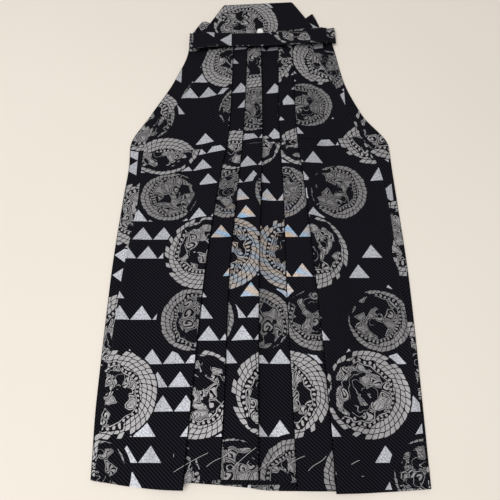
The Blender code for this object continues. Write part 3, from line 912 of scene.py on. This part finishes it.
# The back ties. Two straps of doubled cloth sewn to the board's ends; here each is folded up
# behind the board, so only a loop of it shows on either side. The numbers are the corner that
# shows, the lean, the length, the side, the fold's skew, its rounding and the print's place.
TIE_WIDTH = 26
STRAP_THICK = CLOTH * 1.6  # the straps are doubled cloth
TIE_ROWS = np.array((0, 0.03, 0.07, 0.13, 0.2, 0.3, 0.4, 0.5, 0.6, 0.7, 0.8, 0.87, 0.93, 0.97, 1))
BACK_TIES = (
    ("back_tie_right", -80.5, 624.5, -30, 29.5, -1, 0, 7, (62, 56)),
    ("back_tie_left", 80.8, 638, 18, 35.5, 1, 0.45, 3, (229, 220)),
)
for name, corner_x, corner_y, lean, length, side, skew, corner, print_place in BACK_TIES:
    w = TIE_ROWS * TIE_WIDTH
    inset = np.maximum(np.maximum(corner - w, w - (TIE_WIDTH - corner)), 0)
    reach = length - skew * w - (corner - np.sqrt(corner**2 - inset**2)) - BEND - CLOTH / 2
    out = reach * np.linspace(0, 1, 12)[:, None]
    w = w + 0 * out
    puff = 0.25 * np.sin(np.pi * w / TIE_WIDTH)
    lower = np.stack((out, w, WALL / 2 + 0 * w), axis=-1)
    upper = np.stack((out, w, WALL / 2 + PITCH + puff), axis=-1)[::-1]
    flat_grid = join_runs([lower.transpose(1, 0, 2), upper.transpose(1, 0, 2)])[0]
    angle = math.radians(lean)
    up = np.array((-math.sin(angle), math.cos(angle)))
    sideways = -side * np.array((math.cos(angle), math.sin(angle)))
    foot = np.array((corner_x, corner_y)) - length * up
    grid = flat_grid.copy()
    grid[..., :2] = foot + flat_grid[..., :1] * up + flat_grid[..., 1:2] * sideways
    uv = flat_grid[..., 1::-1] + print_place
    looks = (printed, printed, plain)
    piece = cloth_piece(name + "_cloth", grid, STRAP_THICK, uv[:, :-1], uv[:, 1:], side, looks)
    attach(piece, "root")
    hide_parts(name)
    2 * length * MM

# The front band and ties. The pleats are held by a band along the front waist. Its two ties are
# folded to and fro over it, the right one below and the left one on top. They are cut along the
# cloth, so the print lies on its side; each stretch has its own place on the print.
Strap = namedtuple("Strap", "name centre_y slant rise middle_width end_width stops levels prints")
STRAPS = (
    Strap("front_band", 577, 0.06, 5, 19, 19, (-69, 77), (0,), ((0, 0),)),
    Strap(
        "front_tie_right", 578, 0.068, 6.4, 22, 32, (-12, -98.5, 111, -10), (0, 1, 0),
        ((300, 150), (94, 214), (300, 150)),
    ),
    Strap(
        "front_tie_left", 575, 0.041, 4.9, 23.5, 27, (-38, -92.5, 97, 73), (1, 0, 1),
        ((244, 187), (211.6, 155.6), (302, 235)),
    ),
)
FLARE_FROM = 60  # the straps widen from here to their ends
STRAP_REACH = 100  # the straps' rise is given for this far from the middle
STRAP_STEP = 2.4
STRAP_END_IN = 2.5
DROP_FROM = 60


def surface_of(*pieces):
    """All the faces of some pieces, to lay cloth or thread on."""
    corners, faces = [], []
    for piece in pieces:
        first = len(corners)
        corners += [v.co for v in piece.data.vertices]
        faces += [[first + v for v in p.vertices] for p in piece.data.polygons]
    return BVHTree.FromPolygons(corners, faces)


def drop_on(surface, x, y):
    """Where a point that falls from above lands on a surface, in metres, or None."""
    return surface.ray_cast(Vector(place((x, y, DROP_FROM))), Vector((0, 0, -1)))[0]


def strap_tops(node, xs, ys):
    """Height of a CAD strap's upper face at each of these places."""
    surface = surface_of(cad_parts[node])
    tops = np.full(xs.shape, np.nan)
    for spot in np.ndindex(xs.shape):
        hit = drop_on(surface, xs[spot], ys[spot])
        if hit is not None:
            tops[spot] = hit.z / MM
    for row in tops:
        known = ~np.isnan(row)
        row[~known] = np.interp(np.flatnonzero(~known), np.flatnonzero(known), row[known])
    return tops


def strap_line(spec, xs):
    """A strap's middle line and its width at distances xs across the waist."""
    flare = np.clip((abs(xs) - FLARE_FROM) / (max(spec.stops) - FLARE_FROM), 0, 1)
    width = spec.middle_width + (spec.end_width - spec.middle_width) * flare
    return spec.centre_y + spec.slant * xs + spec.rise * (xs / STRAP_REACH) ** 2, width


def strap_piece(spec):
    """A strap that goes to and fro along its stops, on the heights of its solid."""
    low_x, high_x = min(spec.stops), max(spec.stops)
    xs = np.linspace(low_x, high_x, round((high_x - low_x) / STRAP_STEP) + 1)
    share = np.linspace(-0.5, 0.5, 13)[:, None]
    middle, width = strap_line(spec, xs)
    ys = middle + share * width
    sample_x = np.clip(xs, low_x + STRAP_END_IN, high_x - STRAP_END_IN) + 0 * ys
    tops = strap_tops(spec.name, sample_x, middle + share * 0.94 * width)
    runs = list(zip(spec.stops, spec.stops[1:], spec.levels))
    highest = np.array(
        [max(level for a, b, level in runs if min(a, b) <= x <= max(a, b)) for x in xs]
    )
    base = tops - WALL / 2 - highest * PITCH
    stacked = np.stack([np.roll(base, k, axis=1) for k in (-2, -1, 0, 1, 2)])
    base[:, 2:-2] = np.median(stacked, axis=0)[:, 2:-2]
    for _ in range(2):
        base[:, 1:-1] = (base[:, :-2] + 2 * base[:, 1:-1] + base[:, 2:]) / 4
        base[1:-1] = (base[:-2] + 2 * base[1:-1] + base[2:]) / 4
    stretches = []
    for k, (start, end, level) in enumerate(runs):
        way = 1 if end > start else -1
        reach = BEND + CLOTH / 2
        first = start + way * reach * (k > 0)
        last = end - way * reach * (k < len(runs) - 1)
        along = np.linspace(first, last, round(abs(last - first) / STRAP_STEP) + 1)
        row_y = np.array([np.interp(along, xs, row) for row in ys])
        row_z = np.array([np.interp(along, xs, row) for row in base]) + level * PITCH
        stretches.append(np.stack((along + 0 * row_y, row_y, row_z), axis=-1))
    grid, owners, _ = join_runs(stretches)
    puff = 0.18 * (1 - (2 * share) ** 2) * np.sin(grid[..., 0] / 9 + 1.3 * grid[..., 1] / 9)
    grid[..., 2] += puff
    prints = np.array(spec.prints)[owners[:-1]]
    across = share * spec.middle_width + prints[:, 0]
    left = np.stack((across, prints[:, 1] - grid[:, :-1, 0]), axis=-1)
    right = np.stack((across, prints[:, 1] - grid[:, 1:, 0]), axis=-1)
    side = 1 if spec.stops[1] > spec.stops[0] else -1
    looks = (plain, plain) if spec.name == "front_band" else (printed, printed, plain)
    return cloth_piece(spec.name + "_cloth", grid, STRAP_THICK, left, right, side, looks)


straps = {}
for spec in STRAPS:
    piece = straps[spec.name] = strap_piece(spec)
    length = sum(abs(b - a) for a, b in zip(spec.stops, spec.stops[1:]))
    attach(piece, "root")
    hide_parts(spec.name)
    length * MM

# The stitches. A row of small stitches of black thread runs inside the edges of the straps, the
# fronts and the board. Near the hem lie loose ends of the pale basting thread that held the
# pleats before they were pressed, and a few pale stitches of it are left along the waist.
STITCH_PITCH = 3.4
STITCH_LENGTH = 2.6
STITCH_RADIUS = 0.2
EDGE_IN = 2.2
THREAD_RADIUS = 0.2
THREAD_BOW = 0.7
THREAD_STEP = 1.5
SHORT_THREAD = 20  # threads shorter than this bow less
BASTING_ENDS = (
    ((-89, 16), (-55, 34)),
    ((-56, 21), (-31, 36)),
    ((-29, 20), (-6, 39)),
    ((-3, 18), (19, 34)),
    ((27, 23), (44, 31)),
    ((47, 17), (66, 31)),
    ((91, 23), (100, 27)),
    ((-90, 33), (-90, 30)),
    ((-1, 17), (-1, 11)),
    ((70, 13), (69, 10)),
    ((101, 12), (103, 12)),
)
WAIST_BASTING = (-58, -30, -22, -14)
WAIST_BASTING_IN = 1.2
WAIST_STITCH_HALF = 0.9
SEAM_STEP = 1.7
SEAM_LIFT = 0.05
SEAM_FROM = 6
SEAM_TO = 568
BOARD_SEAM_FROM = 4


def laid_line(surface, line, step=SEAM_STEP, lift=SEAM_LIFT):
    """Places every step along a line, lying on a surface."""
    line = np.array(line, float)
    distance = np.append(0, np.hypot(*np.diff(line, axis=0).T).cumsum())
    at = np.linspace(0, distance[-1], max(2, round(distance[-1] / step) + 1))
    laid = []
    for x, y in zip(*(np.interp(at, distance, part) for part in line.T)):
        hit = drop_on(surface, x, y)
        if hit is not None:
            laid.append(hit + Vector((0, 0, lift * MM)))
    return laid


def sewing_tree(name, sizes):
    """A new Geometry Nodes tree with these sizes as inputs: a Paint, its inputs and its lines
    as a curve."""
    tree = bpy.data.node_groups.new(name, "GeometryNodeTree")
    kinds = {"Lines": "Geometry", **{size: "Float" for size in sizes}, "Thread": "Material"}
    for label, kind in kinds.items():
        tree.interface.new_socket(label, in_out="INPUT", socket_type="NodeSocket" + kind)
    tree.interface.new_socket("Sewn", in_out="OUTPUT", socket_type="NodeSocketGeometry")
    paint = Paint(tree)
    given = {label: paint.node("NodeGroupInput", {}, {}, label) for label in kinds}
    return paint, given, paint.node("GeometryNodeMeshToCurve", {}, {"Mesh": given["Lines"]})


def end_tree(paint, made, thread):
    """Ends a tree: real geometry, smooth, in the thread's material."""
    made = paint.node("GeometryNodeSetShadeSmooth", {}, {"Geometry": made})
    made = paint.node("GeometryNodeRealizeInstances", {}, {"Geometry": made})
    made = paint.node("GeometryNodeSetMaterial", {}, {"Geometry": made, "Material": thread})
    paint.node("NodeGroupOutput", {}, {"Sewn": made})
    return paint.tree


def sewn_piece(name, lines, tree, inputs):
    """Runs a tree over lines of places, and makes its result a plain mesh."""
    places, edges = [], []
    for line in lines:
        edges += [(len(places) + k, len(places) + k + 1) for k in range(len(line) - 1)]
        places += line
    mesh = bpy.data.meshes.new(name + "_lines")
    mesh.from_pydata(places, edges, [])
    holder = add_object(name + "_lines", mesh)
    modifier = holder.modifiers.new("sewing", "NODES")
    modifier.node_group = tree
    for item in tree.interface.items_tree:
        if item.name in inputs:
            modifier[item.identifier] = inputs[item.name]
    depsgraph = bpy.context.evaluated_depsgraph_get()
    made = bpy.data.meshes.new_from_object(holder.evaluated_get(depsgraph))
    bpy.data.objects.remove(holder)
    return add_object(name, made)


def thread_look(name, low, high):
    """Twisted sewing thread: its colour and gloss change a little along it."""
    look, paint = new_look(name)
    twist = paint.here().noise(2200.0, 2.0)
    finish_look(
        paint,
        {"Specular IOR Level": 0.3},
        {
            "Base Color": twist.between(low, high),
            "Roughness": 0.5 + twist * 0.2,
            "Normal": twist.bump(0.4, 0.00008),
        },
    )
    return look


black_thread = thread_look("black_thread", (0.004, 0.004, 0.005, 1), (0.02, 0.02, 0.023, 1))
pale_thread = thread_look("pale_thread", (0.5, 0.49, 0.47, 1), (0.7, 0.69, 0.67, 1))

paint, given, curve = sewing_tree("stitches", ("Pitch", "Length", "Radius"))
points = paint.node(
    "GeometryNodeCurveToPoints", {"mode": "LENGTH"}, {"Curve": curve, "Length": given["Pitch"]}
)
along = Paint(paint.tree, points.socket.node.outputs["Tangent"])
turned = paint.node("FunctionNodeAlignRotationToVector", {"axis": "X"}, {"Vector": along})
stitch = paint.node("GeometryNodeMeshUVSphere", {}, {"Segments": 6, "Rings": 4, "Radius": 1.0})
stitch_size = {"X": given["Length"] * 0.5, "Y": given["Radius"], "Z": given["Radius"]}
stitch_size = paint.node("ShaderNodeCombineXYZ", {}, stitch_size)
stitch = paint.node("GeometryNodeTransform", {}, {"Geometry": stitch, "Scale": stitch_size})
placed = paint.node(
    "GeometryNodeInstanceOnPoints", {}, {"Points": points, "Instance": stitch, "Rotation": turned}
)
stitch_tree = end_tree(paint, placed, given["Thread"])

paint, given, curve = sewing_tree("loose_thread", ("Radius",))
section = paint.node(
    "GeometryNodeCurvePrimitiveCircle", {}, {"Resolution": 6, "Radius": given["Radius"]}
)
tube = paint.node(
    "GeometryNodeCurveToMesh", {}, {"Curve": curve, "Profile Curve": section, "Fill Caps": True}
)
thread_tree = end_tree(paint, tube, given["Thread"])

edge_lines = []
for spec in STRAPS[1:]:
    surface = surface_of(straps[spec.name])
    xs = np.linspace(min(spec.stops) + EDGE_IN, max(spec.stops) - EDGE_IN, 60)
    middle, width = strap_line(spec, xs)
    for side in (-1, 1):
        line = np.stack((xs, middle + side * (width / 2 - EDGE_IN)), axis=-1)
        edge_lines.append(laid_line(surface, line))
seam_y = np.linspace(SEAM_FROM, SEAM_TO, 90)
for sheet, column, inwards in (("front_right_leg", 2, 1), ("front_left_leg", 8, -1)):
    edge_x = smooth_through(seam_y, SHAPE[:, 0], SHAPE[:, column])
    line = np.stack((edge_x + inwards * EDGE_IN, seam_y), axis=-1)
    edge_lines.append(laid_line(surface_of(legs[sheet]), line))
edge_x = BOARD_FOOT_HALF - EDGE_IN
low_y, high_y = BOARD_SEAM_FROM - board_length / 2, board_length / 2 - EDGE_IN
edge_places = np.array(((-edge_x, low_y), (-edge_x, high_y), (edge_x, high_y), (edge_x, low_y)))
line = board_shape(*edge_places.T)
edge_lines.append(laid_line(surface_of(board), np.stack(line, axis=-1)))
inputs = {
    "Pitch": STITCH_PITCH * MM,
    "Length": STITCH_LENGTH * MM,
    "Radius": STITCH_RADIUS * MM,
    "Thread": black_thread,
}
stitches = sewn_piece("edge_stitches", edge_lines, stitch_tree, inputs)
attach(stitches, "root")

basting_lines = []
fronts = surface_of(legs["front_right_leg"], legs["front_left_leg"], legs["back_right_leg"])
for k, (start, end) in enumerate(BASTING_ENDS):
    start, end = np.array(start, float), np.array(end, float)
    sideways = np.array((start[1] - end[1], end[0] - start[0]))
    sideways = sideways / max(math.dist(start, end), SHORT_THREAD)
    bow = np.linspace(0, 1, 13)[:, None]
    line = start + (end - start) * bow + sideways * THREAD_BOW * np.sin(math.pi * bow * (1 + k % 2))
    basting_lines.append(laid_line(fronts, line, THREAD_STEP, THREAD_RADIUS))
top_strap = STRAPS[-1]
top_surface = surface_of(straps[top_strap.name])
for x in WAIST_BASTING:
    xs = np.array((x - WAIST_STITCH_HALF, x + WAIST_STITCH_HALF))
    middle, width = strap_line(top_strap, xs)
    line = np.stack((xs, middle - width / 2 + WAIST_BASTING_IN), axis=-1)
    basting_lines.append(laid_line(top_surface, line, WAIST_STITCH_HALF, THREAD_RADIUS / 2))
inputs = {"Radius": THREAD_RADIUS * MM, "Thread": pale_thread}
basting = sewn_piece("basting_thread", basting_lines, thread_tree, inputs)
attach(basting, "root")
